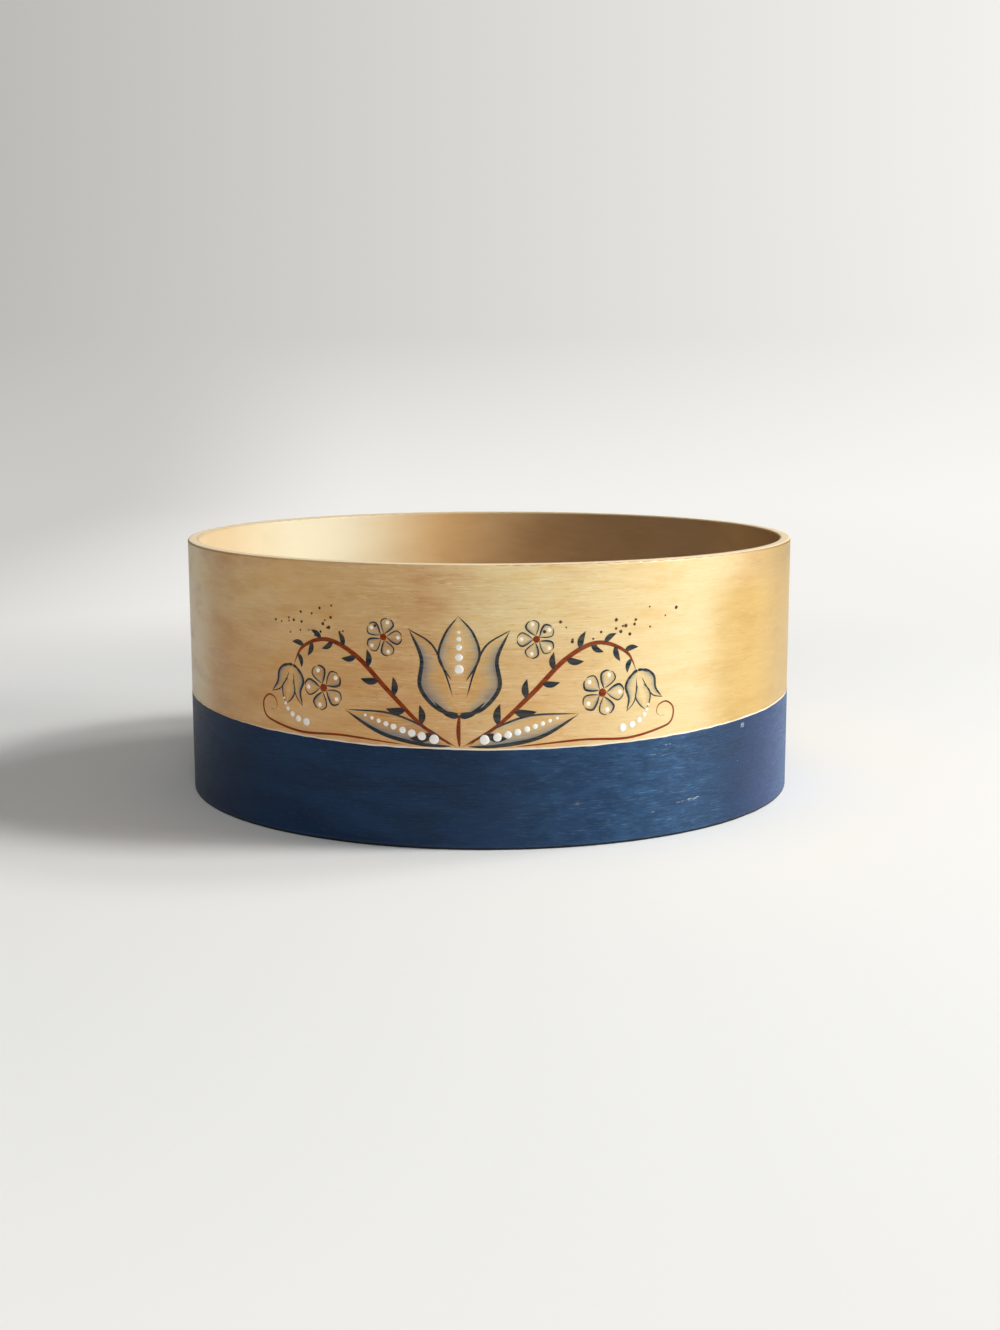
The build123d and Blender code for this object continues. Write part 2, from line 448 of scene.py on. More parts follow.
# %% Depth, gloss and relief
fine = 0.0
for layer, strength in ((fibre_lines, 0.10), (pores, 0.28), (flecks, -0.11), (silk, -0.09)):
    fine = add(birch, "Math", [layer, strength, fine], operation="MULTIPLY_ADD")[0]
fine_mean = 0.05
crisp = changes(birch, along, [(148, 182, 1.1), (244, 280, -1.1)])
off_mean = add(birch, "Math", [fine, fine_mean], operation="SUBTRACT")[0]
depth = add(birch, "Math", [off_mean, crisp, fine], operation="MULTIPLY_ADD")[0]
for layer, strength in ((warm_patch, 0.22), (ring_line, 0.06)):
    depth = add(birch, "Math", [layer, strength, depth], operation="MULTIPLY_ADD")[0]
for where, at_none, at_full in ((outer_face, 0.30, 1.0), (heart_end_and_painted_shade, 1.0, 0.4)):
    calmer = add(birch, "MapRange", [where, 0.0, 1.0, at_none, at_full])[0]
    depth = add(birch, "Math", [depth, calmer], operation="MULTIPLY")[0]
gamma = add(birch, "Math", [depth, 0.94], operation="ADD")[0]
tone = add(birch, "Gamma", [tone, gamma])[0]
varnish = add(birch, "MapRange", [blotch, 0.0, 1.0, 0.50, 0.56])[0]
roughness = add(birch, "Math", [fibre, 0.10, varnish], operation="MULTIPLY_ADD")[0]
relief = add(birch, "Math", [pores, -0.8, fibre], operation="MULTIPLY_ADD")[0]
outputs = birch.nodes.new("NodeGroupOutput")
for socket, value in enumerate((tone, roughness, relief, fibre)):
    birch.links.new(value, outputs.inputs[socket])
print("birch group:", len(birch.nodes), "nodes")

# %% [markdown]
# ### Birch under satin varnish, on the wall
#
# The wall is birch under an old satin varnish, which softens its highlights but still has a clear
# coat's sheen. Along the rim's outer arris the wood is darker, here more and there less: varnish
# gathered there, and on the left, where the arris turns from the light, it is painted shade as
# well. The lowest millimetre of the foot is painted nearly black, a painted contact shadow. Both
# could be thin meshes, but the material lays them over the wood as coats.

# %% The wall's material
band_material, tree = new_material("birch_under_satin_varnish")
wood = add(tree, "Group", node_tree=birch)
strip, along, through, height = strip_millimetres(tree)
below_rim = add(tree, "Math", [body_height / MM, height], operation="SUBTRACT")[0]
arris = add(tree, "MapRange", [below_rim, 1.0, 0.6])[0]
outside = add(tree, "MapRange", [through, outer_radius / MM - 1.2, outer_radius / MM - 0.6])[0]
# painted shade: the arris line is painted strongest on the left, where the wall turns from the light
painted_shade_left = add(tree, "MapRange", [along, 300.0, 350.0, 0.06, 0.42])[0]
broken = grain(tree, strip, (14, 3, 3), 2.0, low=0.30, high=0.52)
# painted contact shadow: the lowest millimetre of the wood is painted nearly black
foot_contact_shadow = add(tree, "MapRange", [height, 0.5, 1.2, 0.97, 0.0])[0]
surface(tree, wood["Relief"], 0.025 * MM, {
    "Base Color": coated(tree, wood["Colour"], [
        ("#6A4821", arris, outside, painted_shade_left, broken), ("#15171C", foot_contact_shadow),
    ]),
    "Roughness": wood["Roughness"], "IOR": 1.48,
    "Coat Weight": 1.0, "Coat Roughness": 0.40, "Coat IOR": 1.5,
})
nodes["side_band"].material_slots[0].material = band_material
print("side_band wears", band_material.name)

# %% [markdown]
# ## The boards of the base
#
# The base is three boards of planed pine side by side, each cut from its own place in the log. A
# board's face shows the growth rings as long lines and pointed arches, because they are cylinders
# round the pith that the saw has cut nearly lengthwise. A Wave texture draws stripes that are all
# alike. Here the pattern is the distance from a pith line that runs a little outside the board and
# leans against it, and each board gets its own.

# %% Pine, one material for each board
def pine_material(name, pith, lean, colour, seed):
    """Planed pine with its grain along X. pith is (y, z) of the log's middle, in mm, and lean is
    the angle between the log's axis and the board's face, which gives the pointed arches."""
    material, tree = new_material(name)
    sway_mm, ring_width, next_cut = 7.0, 2.3, 431.0     # millimetres in the log
    place = add(tree, "TexCoord")["Object"]
    mm = add(tree, "VectorMath", [place, [1 / MM] * 3], operation="MULTIPLY")[0]
    mm = add(tree, "VectorMath", [mm, (seed * next_cut, -pith[0], -pith[1])], operation="ADD")[0]
    mm = add(tree, "Mapping", {"Vector": mm, "Rotation": (0, math.radians(lean), 0)})[0]
    sway = grain(tree, mm, (90, 30, 30), 3.0)
    section = add(tree, "VectorMath", [mm, (0, 1, 1)], operation="MULTIPLY")[0]
    from_pith = add(tree, "VectorMath", [section], operation="LENGTH")["Value"]
    swayed = add(tree, "Math", [sway, sway_mm, from_pith], operation="MULTIPLY_ADD")[0]
    ring = add(tree, "Math", [swayed, 1 / ring_width], operation="MULTIPLY")[0]
    in_ring = add(tree, "Math", [ring], operation="FRACT")[0]
    late_wood = add(tree, "Math", [in_ring, 3.0], operation="POWER")[0]
    fibre = grain(tree, mm, (30, 0.7, 0.7), 3.0)
    stain = grain(tree, mm, (60, 30, 30), 2.0)
    tone = coated(tree, paint_card(colour), [
        ("#A9713A", late_wood, 0.50), ("#C0925A", fibre, 0.30), ("#CDA066", stain, 0.35),
    ])
    roughness = add(tree, "MapRange", [late_wood, 0.0, 1.0, 0.62, 0.48])[0]
    relief = add(tree, "Math", [late_wood, 0.8, fibre], operation="MULTIPLY_ADD")[0]
    surface(tree, relief, 0.06 * MM, {"Base Color": tone, "Roughness": roughness, "IOR": 1.48})
    return material


for seed, (board, pith, lean, colour) in enumerate((
    ("front", (-78, -34), 3.0, "#DFBA84"),
    ("middle", (14, -52), -4.0, "#D2A76D"),
    ("back", (104, -26), 2.0, "#DCB47A"),
)):
    pine = pine_material(f"planed_pine_{board}", pith, lean, colour, seed)
    nodes[f"base_board_{board}"].material_slots[0].material = pine
    print(f"base_board_{board} wears", pine.name)

# %% [markdown]
# ## Dowels and pegs
#
# They are whittled from birch offcuts. What shows is the end of each peg, where the varnish has
# soaked in between the fibres and darkened it. The wall's pattern lies along the strip and would
# show as lines on them, so they get a speckle as fine as the cut ends of fibres, drawn a little
# coarser than life to show at all.

# %% Birch end grain
dowel_material, tree = new_material("birch_dowel_end_grain")
place = add(tree, "TexCoord")["Object"]
mm = add(tree, "VectorMath", [place, [1 / MM] * 3], operation="MULTIPLY")[0]
speckle = grain(tree, mm, (0.35, 0.35, 0.35), 3.0, low=0.35, high=0.68)
cloud = grain(tree, mm, (3, 3, 3), 1.0)
surface(tree, speckle, 0.04 * MM, {
    "Base Color": coated(tree, paint_card("#7E5428"), [("#A5743C", speckle)]),
    "Roughness": add(tree, "MapRange", [cloud, 0.0, 1.0, 0.45, 0.62])[0], "IOR": 1.48,
})
for name in ("base_dowels", "base_pegs", "lap_pegs"):
    nodes[name].material_slots[0].material = dowel_material
    print(name, "wears", dowel_material.name)

# %% [markdown]
# ## New pieces on the wall
#
# Paint is thin, but it has a thickness and an edge that catches light, so each coat and stroke is
# a mesh laid on the wall rather than a picture on it. All of them are drawn flat, in millimetres
# along and up the wall, and then wrapped round it. Sheets get their thickness last, once all their
# faces point outwards.

# %% Helpers that wrap flat work round the wall and finish a piece
def on_wall(angle, height, lift):
    """A place on the outside of the wall: an angle round it, a height, and a distance off it."""
    radius = outer_radius + lift
    return Vector((radius * math.cos(angle), radius * math.sin(angle), height))


def new_bmesh():
    """A bmesh with the two layers that the paint materials read, and a mark for closed shapes."""
    bm = bmesh.new()
    bm.verts.layers.float.new("cover")
    bm.loops.layers.uv.new("brushed")
    bm.faces.layers.int.new("closed")
    return bm


def add_piece(name, bm, material, thickness=0.0):
    """Makes an object of a bmesh, which rides on the box. A thickness turns its sheets into slabs
    and leaves alone what is marked as closed."""
    closed = bm.faces.layers.int["closed"]
    sheets = [face for face in bm.faces if thickness and not face[closed]]
    for face in sheets:
        face.normal_update()
        middle = face.calc_center_median()
        if face.normal.dot(Vector((middle.x, middle.y, 0))) < 0:
            face.normal_flip()
    if sheets:
        bmesh.ops.solidify(bm, geom=sheets, thickness=thickness)
    bm.faces.layers.int.remove(closed)
    piece = new_object(name, bm)
    piece.data.set_sharp_from_angle(angle=math.radians(50))
    piece.data.materials.append(material)
    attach(piece, "root")
    print(name, len(piece.data.polygons), "faces")


print("the front of the wall is at", on_wall(math.radians(-90), 0, 0)[:])

# %% [markdown]
# ## The rubbed rim
#
# Hands take the varnish off a rim first, and pale bare wood shows along its top. Bare wood has no
# gloss coat, so it needs a material of its own, and the rim gets a skin to carry it, a few
# hundredths of a millimetre thick. Its section is drawn once, as a closed outline that follows the
# rounded rim, and spun round the axis. A full spin with use_merge closes the ring without a seam.

# %% A skin of bare wood, spun from its section
rim_rounding = 0.8 * MM
rounding_steps = 5
skin_lift, skin_thickness = 0.04 * MM, 0.03 * MM
wraps_outside, wraps_inside = math.radians(48), math.radians(20)


def rim_section(lift):
    """The rim's outline at a lift above the wood, from its outer side over the top to its inner."""
    radius = rim_rounding + lift
    outer_centre = Vector((outer_radius - rim_rounding, 0, body_height - rim_rounding))
    inner_centre = Vector((inner_radius + rim_rounding, 0, body_height - rim_rounding))
    points = []
    for centre, first, last in (
        (outer_centre, wraps_outside, math.radians(90)),
        (inner_centre, math.radians(90), math.radians(180) - wraps_inside),
    ):
        for step in range(rounding_steps + 1):
            lean = first + (last - first) * step / rounding_steps
            points.append(centre + radius * Vector((math.cos(lean), 0, math.sin(lean))))
    return points


rim_bm = new_bmesh()
outline = rim_section(skin_lift) + rim_section(skin_lift - skin_thickness)[::-1]
corners = [rim_bm.verts.new(point) for point in outline]
section = [rim_bm.edges.new(pair) for pair in zip(corners, corners[1:] + corners[:1])]
bmesh.ops.spin(
    rim_bm, geom=corners + section, cent=(0, 0, 0), axis=(0, 0, 1),
    angle=math.radians(360), steps=360, use_merge=True,
)
bmesh.ops.remove_doubles(rim_bm, verts=rim_bm.verts, dist=0.002 * MM)
bmesh.ops.recalc_face_normals(rim_bm, faces=rim_bm.faces)
print("rim skin:", len(rim_bm.faces), "faces from an outline of", len(outline), "corners")

# %% Bare birch, painted greyer along its inner arris as painted shade that holds down its highlight
rim_material, tree = new_material("birch_rubbed_bare")
wood = add(tree, "Group", node_tree=birch)
radius = strip_millimetres(tree)[2]
# painted shade: the inner arris is painted greyer where it would catch the light
painted_arris_shade = add(tree, "MapRange", [radius, inner_radius / MM + 1.3, inner_radius / MM + 0.4, 0.0, 0.8])[0]
surface(tree, wood["Relief"], 0.03 * MM, {
    "Base Color": coated(tree, wood["Colour"], [("#FBE6C2", 0.88), ("#C2AC82", painted_arris_shade)]),
    "Roughness": add(tree, "MapRange", [wood["Fibre"], 0.0, 1.0, 0.62, 0.78])[0],
    "IOR": 1.48, "Specular IOR Level": 0.3,
})
add_piece("bare_rim", rim_bm, rim_material)

# %% [markdown]
# ## The blue coat
#
# The foot of the box is painted up to a line that was masked by hand. It dips at the front and at
# the back and rises by a few millimetres at the sides, which two waves describe well: one that goes
# round once and one that goes round twice. The edge itself has small ripples where the paint
# crept under the mask. A flat grid, wrapped once round the wall, can follow all of that.

# %% The painted line and the coat below it
line_mean = 38.5 * MM
line_single_wave = 0.45 * MM
line_double_wave = 2.1 * MM
line_ripple = 0.16 * MM
coat_foot = 0.22 * MM
foot_ripple = 0.10 * MM
coat_lift = 0.09 * MM
edge_rounding = 0.35 * MM


def line_height(angle):
    """How high the blue coat reaches at an angle round the box, but for its ripples."""
    turn = angle + math.radians(90)
    return line_mean + line_single_wave * math.cos(turn) - line_double_wave * math.cos(2 * turn)


def ripple(angle, wavelength, seed):
    """A wander between about -1 and 1 that joins up after a full turn."""
    reach = outer_radius / wavelength
    return noise.noise(Vector((math.cos(angle) * reach, math.sin(angle) * reach, seed)))


def line_wander(angle):
    """How far the ripples take the painted line off its smooth height."""
    return line_ripple * (ripple(angle, 5 * MM, 1) + ripple(angle, 17 * MM, 2))


def band_grid(bm, rows):
    """A grid to wrap once round the box: its corners, with their angles and shares of its height."""
    columns = 900       # each less than a millimetre of the wall
    grid = bmesh.ops.create_grid(bm, x_segments=columns, y_segments=rows, size=0.5)
    return [(vert, (vert.co.x + 0.5) * 2 * math.pi, vert.co.y + 0.5) for vert in grid["verts"]]


coat_bm = new_bmesh()
for vert, angle, share in band_grid(coat_bm, rows=14):
    top_edge = line_height(angle) + line_wander(angle)
    foot_edge = coat_foot + foot_ripple * ripple(angle, 6 * MM, 3)
    eased = 0.5 - 0.5 * math.cos(math.pi * share)
    height = foot_edge + (top_edge - foot_edge) * eased
    from_edge = max(0, min(height - foot_edge, top_edge - height, edge_rounding)) / edge_rounding
    vert.co = on_wall(angle, height, coat_lift * (0.25 + 0.75 * math.sqrt(from_edge)))
bmesh.ops.remove_doubles(coat_bm, verts=coat_bm.verts, dist=0.02 * MM)
print("the blue reaches", [round(line_height(math.radians(a)) / MM, 1) for a in (-90, 0, 90, 180)], "mm")

# %% [markdown]
# ### Blue milk paint, brushed along the grain
#
# Milk paint dries matt and gets a faint sheen from hands. It keeps fine ridges that follow the
# brush, drawn coarser than life to show, and a mottle where it was thin. Where the window's sheen
# falls on the right, the coat is painted lighter in patches and glints along the grain, a painted
# sheen and painted glints, and towards the right edge it turns a lighter violet, partly a painted
# reflection. The foot's arris is worn and a little lighter, partly a painted highlight, and the
# lowest hair's breadth is painted nearly black, a painted contact shadow. All are coats over one
# blue, which the scuffs will use again.

# %% The blue, how it has worn, and its painted sheen and shade
def blue_paint_tone(tree, strip):
    """The mottled blue of the coat and of its thin places, and its ridges."""
    streak = grain(tree, strip, (8, 5, 0.5), 3.0, low=0.30, high=0.72)
    dash = grain(tree, strip, (2.8, 3, 0.36), 2.0, low=0.58, high=0.74)
    cloud = grain(tree, strip, (34, 40, 9), 3.0, low=0.32, high=0.68)
    tone = coated(tree, paint_card("#09233E"), [
        ("#112F50", cloud), ("#1A3C61", streak, 0.34), ("#456888", dash, 0.18),
    ])
    return tone, add(tree, "Math", [dash, 0.7, streak], operation="MULTIPLY_ADD")[0]


coat_material, tree = new_material("blue_milk_paint_brushed_on")
strip, along, _, height = strip_millimetres(tree)
tone, ridges = blue_paint_tone(tree, strip)
# painted sheen: lighter steps along the lit right of the coat
painted_sheen_steps = changes(tree, along, [
    (220, 180, 0.45), (176, 138, 0.55), (142, 100, -0.92), (86, 50, 0.80), (28, 2, -0.88),
])
# violet, and lighter towards the right edge: partly a painted reflection
violet_and_painted_reflection = changes(tree, along, [(116, 72, 0.5), (28, 2, -0.5)])
uneven = grain(tree, strip, (4.5, 4, 1.1), 4.0, low=-0.25, high=1.05)
patches = grain(tree, strip, (11, 6, 4.0), 3.0, low=0.36, high=0.64)
patchy = add(tree, "Math", [patches, 0.6, 0.70], operation="MULTIPLY_ADD")[0]
# painted glints along the grain, inside the painted sheen
painted_glint = grain(tree, strip, (4.0, 3, 0.42), 3.0, low=0.56, high=0.71)
# wear and painted highlight: the foot's arris is painted a little lighter
worn_foot_and_highlight = add(tree, "MapRange", [height, 2.0, 1.1])[0]
wear_break = grain(tree, strip, (9, 4, 1.6), 3.0, low=0.30, high=0.55)
# painted contact shadow: the lowest hair's breadth of the coat is painted nearly black
coat_contact_shadow = add(tree, "MapRange", [height, 1.0, 0.7, 0.0, 0.92])[0]
tone = coated(tree, tone, [
    ("#32587F", painted_sheen_steps, uneven, patchy), ("#4B5A8C", violet_and_painted_reflection, uneven),
    ("#6C93AE", painted_glint, painted_sheen_steps, uneven, patchy, 0.60),
    ("#6F7F92", worn_foot_and_highlight, wear_break, 0.10), ("#080B11", coat_contact_shadow),
])
wood = add(tree, "Group", node_tree=birch)
relief = add(tree, "Math", [wood["Relief"], 0.8, ridges], operation="MULTIPLY_ADD")[0]
surface(tree, relief, 0.05 * MM, {
    "Base Color": tone, "Roughness": add(tree, "MapRange", [ridges, 0.0, 1.0, 0.40, 0.50])[0],
    "IOR": 1.5, "Specular IOR Level": 0.22,
})
add_piece("blue_paint_coat", coat_bm, coat_material, thickness=0.12 * MM)

# %% [markdown]
# ### The pale line along the blue edge
#
# Just above the blue the wood shows a line of bare primer, as wide as a pencil stroke. It was
# left where the mask covered the primer but the varnish never reached. It breaks off here and
# there, so its `cover` follows the same kind of wander as the painted edge. It is also painted
# clearest on the front and right, where the light falls, and fainter on the shaded left and the
# back, a painted highlight. It could be one more coat in the wall's material, but a ribbon tucked
# under the blue keeps to its edge by itself.

# %% A ribbon of primer that follows the painted line
edge_width = 0.88 * MM
tucked_under = 0.3 * MM
edge_lift = 0.05 * MM
line_clearest_at, line_clear_for = math.radians(292), math.radians(66)
edge_bm = new_bmesh()
cover = edge_bm.verts.layers.float["cover"]
for vert, angle, share in band_grid(edge_bm, rows=4):
    reach = edge_width * (1 + 0.25 * ripple(angle, 4 * MM, 5))
    height = line_height(angle) + line_wander(angle) - tucked_under + share * reach
    vert.co = on_wall(angle, height, edge_lift * (1 - 0.6 * share))
    # painted highlight: the line is clearest on the lit front and right, fainter on the shaded left and the
    # back
    faint = 0.3 + 0.7 * math.exp(-((angle - line_clearest_at) / line_clear_for) ** 6)
    vert[cover] = min(1, 1.1 + 0.6 * ripple(angle, 9 * MM, 6)) * (1 - share ** 5) * faint
bmesh.ops.remove_doubles(edge_bm, verts=edge_bm.verts, dist=0.02 * MM)
print("pale line:", len(edge_bm.faces), "faces before it gets its thickness")

# %% [markdown]
# ## Brush strokes
#
# Every stroke starts as a few points that the brush swings through. A bevelled curve through them
# would be a round worm. Here a smooth path becomes the middle of a narrow grid, whose width swells
# and thins as the pressure of a hand does. The grid's `cover` layer says how thickly the paint
# lies: full in a liner's stroke, and fading from one side to the other where the brush was loaded
# on one side only. No two strokes of a hand are alike, so each point strays a little, always in
# the same way on every run.

# %% Paths, drawn in millimetres along the wall and above the painted line
hand_sway = random.Random(11)
ornament_middle = math.radians(-95)


def on_ornament(along, above, lift):
    """A place on the wall in the ornament's own millimetres."""
    angle = ornament_middle + along * MM / outer_radius
    return on_wall(angle, line_height(angle) + above * MM, lift * MM)


def laid(points, origin=(0, 0), turn=0.0, size=1.0, hand=1, sway=0.22, steps=7):
    """A smooth path through a motif's points, turned, enlarged and put in place.
    hand is 1 on the right half of the ornament and -1 on the left, which mirrors it."""
    placed = []
    for x, y in points:
        spot = Vector((x, y)) * size
        spot.rotate(Matrix.Rotation(turn, 2))
        spot += Vector(origin) + Vector((hand_sway.uniform(-sway, sway), hand_sway.uniform(-sway, sway)))
        placed.append(Vector((hand * spot.x, spot.y, 0)))
    knots = [2 * placed[0] - placed[1], *placed, 2 * placed[-1] - placed[-2]]
    path = []
    for before, start, end, after in zip(knots, knots[1:], knots[2:], knots[3:]):
        leaving, arriving = start + (end - before) / 6, end - (after - start) / 6
        path += interpolate_bezier(start, leaving, arriving, end, steps + 1)[:-1]
    return path + [knots[-2]]


print("the ornament's middle stands at", [round(c, 4) for c in on_ornament(0, 0, 0)])

# %% Pressures of the hand, by the share of the stroke that is done
def liner(share):
    """The pressure of a thin long stroke: light, then firm, then lifted off."""
    return min(1, share / 0.05, (1 - share) / 0.10) * (0.35 + 0.65 * math.sin(math.pi * share) ** 0.8)


def leaf(share):
    """The pressure of a one-stroke leaf, widest before its middle and pointed at both ends."""
    return math.sin(math.pi * share ** 0.8) ** 0.9


def comma(share):
    """The pressure of a comma stroke: pressed down at once, then drawn out to a tail."""
    return math.sqrt(min(1, share / 0.16)) * (1 - share) ** 0.7


print("pressures halfway:", [round(pressure(0.5), 2) for pressure in (liner, leaf, comma)])

# %% Strokes and dabs
def stroke(bm, path, width, pressure, lift=0.06, side=0, thickest=1.0):
    """Lays a stroke along a path. With a side of 1 or -1 it lies on that side of the path only,
    and its paint fades away from the path."""
    cover, brushed = bm.verts.layers.float["cover"], bm.loops.layers.uv["brushed"]
    walked = [0.0]
    for here, there in zip(path, path[1:]):
        walked.append(walked[-1] + (there - here).length)
    rows = 7 if side else 4
    grid = bmesh.ops.create_grid(bm, x_segments=len(path) - 1, y_segments=rows, size=0.5)
    for vert in grid["verts"]:
        step = round((vert.co.x + 0.5) * (len(path) - 1))
        over = vert.co.y + 0.5
        heading = path[min(step + 1, len(path) - 1)] - path[max(step - 1, 0)]
        left = Vector((-heading.y, heading.x)).normalized()
        share = walked[step] / walked[-1]
        wide = width * max(pressure(share), 0.02)
        if side:
            reach = side * over * wide
            vert[cover] = thickest * (1 - over) ** 1.4 * min(1, share / 0.12, (1 - share) / 0.2)
            rise = lift * (1 - 0.8 * over)
        else:
            reach = (over - 0.5) * wide
            vert[cover] = thickest
            rise = lift * (1 - 0.75 * (2 * over - 1) ** 2)
        for loop in vert.link_loops:
            loop[brushed].uv = (walked[step], reach)
        spot = path[step].xy + left * reach
        vert.co = on_ornament(spot.x, spot.y, rise)


def dab(bm, spot, diameter, rise=0.10):
    """A blob of paint set down with the round end of a brush handle, half sunk into the wood."""
    cover = bm.verts.layers.float["cover"]
    seed = hand_sway.uniform(0, 50)
    closed = bm.faces.layers.int["closed"]
    ball = bmesh.ops.create_uvsphere(bm, u_segments=16, v_segments=8, radius=0.5)
    for face in {face for vert in ball["verts"] for face in vert.link_faces}:
        face[closed] = 1
    for vert in ball["verts"]:
        uneven = 1 + 0.10 * noise.noise(Vector((vert.co.x * 2, vert.co.y * 2, seed)))
        blunt = math.copysign(abs(vert.co.z * 2) ** 0.7, vert.co.z)
        vert[cover] = 1
        vert.co = on_ornament(
            spot[0] + vert.co.x * diameter * uneven, spot[1] + vert.co.y * diameter * uneven,
            blunt * rise * diameter,
        )


paints = {colour: new_bmesh() for colour in ("slate", "rust", "navy", "white", "umber")}
print("paints on the palette:", ", ".join(paints))

# %% [markdown]
# ## The motifs
#
# The ornament is a spray of the kind that box painters use everywhere: a tulip in the middle, and
# on each side an arching stem with leaves and a hanging bud, two round blossoms, a long leaf at
# the foot and a tendril. Each motif is a function, drawn about its own base and one unit high,
# so the same tulip serves as the large flower and as the small buds, and a change to a petal is
# made once.

# %% The tulip
def tulip(origin, turn, size, hand):
    """A flower of two outer petals and a pointed heart, shaded from its edges inwards."""
    for half in (-1, 1):
        side = half * hand
        outer, inner, heart = (
            laid([(half * x, y) for x, y in edge], origin, turn, size, hand, sway=0.008 * size)
            for edge in (
                [(0.0, 0.0), (0.22, 0.04), (0.40, 0.26), (0.38, 0.56), (0.52, 0.86)],
                [(0.52, 0.86), (0.27, 0.70), (0.15, 0.44), (0.07, 0.16)],
                [(0.08, 0.34), (0.20, 0.58), (0.14, 0.82), (0.0, 1.0)],
            )
        )
        stroke(paints["slate"], outer, 0.27 * size, leaf, lift=0.030, side=side, thickest=0.95)
        stroke(paints["slate"], heart, 0.15 * size, leaf, lift=0.035, side=side, thickest=0.8)
        stroke(paints["navy"], outer, 0.5 + 0.030 * size, liner, lift=0.09)
        stroke(paints["navy"], inner, 0.3 + 0.014 * size, liner, lift=0.08)
        stroke(paints["navy"], heart, 0.3 + 0.018 * size, liner, lift=0.085)
        sepal = laid([(0, -0.03), (half * 0.13, 0.0), (half * 0.26, 0.12)], origin, turn, size, hand, sway=0)
        stroke(paints["navy"], sepal, 0.075 * size, comma, lift=0.10)


print("the tulip is drawn one unit high: a size of 35 makes it 35 mm high")

# %% Blossoms, rows of berries and leafy stems
petals = 5


def blossom(middle, size, turn, hand):
    """Rounded petals, shaded from their outlines inwards, about a rust eye."""
    for petal in range(petals):
        aim = turn + petal * math.radians(360 / petals)
        for half, weight in ((-1, 1.0), (1, 0.7)):
            edge = laid(
                [(0, 0.10), (half * 0.13, 0.26), (half * 0.19, 0.42), (half * 0.10, 0.53), (0, 0.55)],
                middle, aim, size, hand, sway=0.04,
            )
            stroke(paints["slate"], edge, 0.17 * size, leaf, lift=0.04, side=half * hand, thickest=weight)
            stroke(paints["navy"], edge, 0.055 * size * weight, liner, lift=0.09)
        tip = laid([(0, 0.44), (0, 0.445)], middle, aim, size, hand, sway=0)[0]
        dab(paints["white"], tip.xy, 0.11 * size)
    dab(paints["rust"], (hand * middle[0], middle[1]), 0.20 * size)


def beads(points, largest, smallest, count, hand):
    """A row of white berries that shrink along a curve."""
    path = laid(points, hand=hand, sway=0.1, steps=24)
    for bead in range(count):
        share = (bead / (count - 1)) ** 0.85
        spot = path[round(share * (len(path) - 1))]
        dab(paints["white"], spot.xy, largest + (smallest - largest) * share)


def leafy_stem(points, hand, width, leaves, first, last, length):
    """A rust stem with navy leaves to both sides in turn, from the first share of its length to
    the last, and smaller towards its tip."""
    path = laid(points, hand=hand, steps=14)
    stroke(paints["rust"], path, width, liner, lift=0.075)
    for number in range(leaves):
        share = first + (last - first) * number / (leaves - 1)
        step = round(share * (len(path) - 2))
        root, heading = path[step], path[step + 1] - path[step]
        bearing = math.atan2(heading.y, hand * heading.x)
        side = 1 if number % 2 else -1
        size = length * (1.05 - 0.45 * share) * hand_sway.uniform(0.9, 1.1)
        turn = bearing + side * math.radians(46)
        blade = laid([(0, 0), (0.5, side * 0.10), (1, 0)], (hand * root.x, root.y), turn, size, hand,
                     sway=0.05, steps=6)
        stroke(paints["navy"], blade, size * 0.36, leaf, lift=0.09)


print("a blossom has", petals, "petals,", 360 / petals, "degrees apart")

# %% [markdown]
# ### The whole spray
#
# A painter would sketch one half and trace it in reverse for the other. The loop does the same: it
# paints the left half and then the right, and only the sway differs. Mirroring the finished mesh
# would make them too much alike. Specks flicked off a brush come last, fewer away from their middle.

# %% The whole spray, left half and right half
tulip((0, 13), 0.0, 35, 1)
for spot, size in (((0, 29), 3.3), ((0, 33.2), 2.7), ((0, 36.8), 2.2), ((0, 39.8), 1.7), ((0, 42.2), 1.2)):
    dab(paints["white"], spot, size)
stem = laid([(0.2, 0.8), (-0.3, 7), (0, 13)])
stroke(paints["rust"], stem, 1.5, liner, lift=0.08)
curl = []
curl_x, curl_y, curl_radius = 77, 9.5, 6
for step in range(8):
    turn, shrunk = math.radians(-100 + 55 * step), 1 - 0.11 * step
    curl.append((
        curl_x + curl_radius * math.cos(turn) * shrunk, curl_y + curl_radius * math.sin(turn) * shrunk,
    ))
for hand in (-1, 1):
    arch = [(1, 1), (13, 8), (26, 20), (38, 32), (50, 37), (61, 33), (66, 25)]
    leafy_stem(arch, hand, width=1.8, leaves=13, first=0.12, last=0.90, length=8.0)
    tulip((66, 25.5), math.radians(-166), 15, hand)
    blossom((27.5, 39.5), 12.5, 0.3, hand)
    blossom((52, 19), 15, 0.9, hand)
    lower = laid([(3, 1.2), (14, 1.5), (29, 4.5), (43, 12)], hand=hand)
    upper = laid([(3, 1.2), (11, 7), (25, 12), (43, 12)], hand=hand)
    stroke(paints["slate"], lower, 7.5, leaf, lift=0.03, side=hand)
    stroke(paints["slate"], upper, 3.0, leaf, lift=0.035, side=-hand, thickest=0.6)
    stroke(paints["navy"], lower, 1.5, liner, lift=0.09)
    stroke(paints["navy"], upper, 0.8, liner, lift=0.08)
    beads([(9, 3.6), (18, 5.5), (27, 8.2), (35, 10.8)], 3.6, 1.1, 9, hand)
    tendril = laid([(20, 1.0), (44, 2.4), (62, 1.6), *curl], hand=hand, sway=0.12)
    stroke(paints["rust"], tendril, 0.9, liner, lift=0.07)
    beads([(60, 5.5), (65, 6.6), (69, 9.5), (70.5, 13)], 2.9, 1.0, 6, hand)
specks = 46
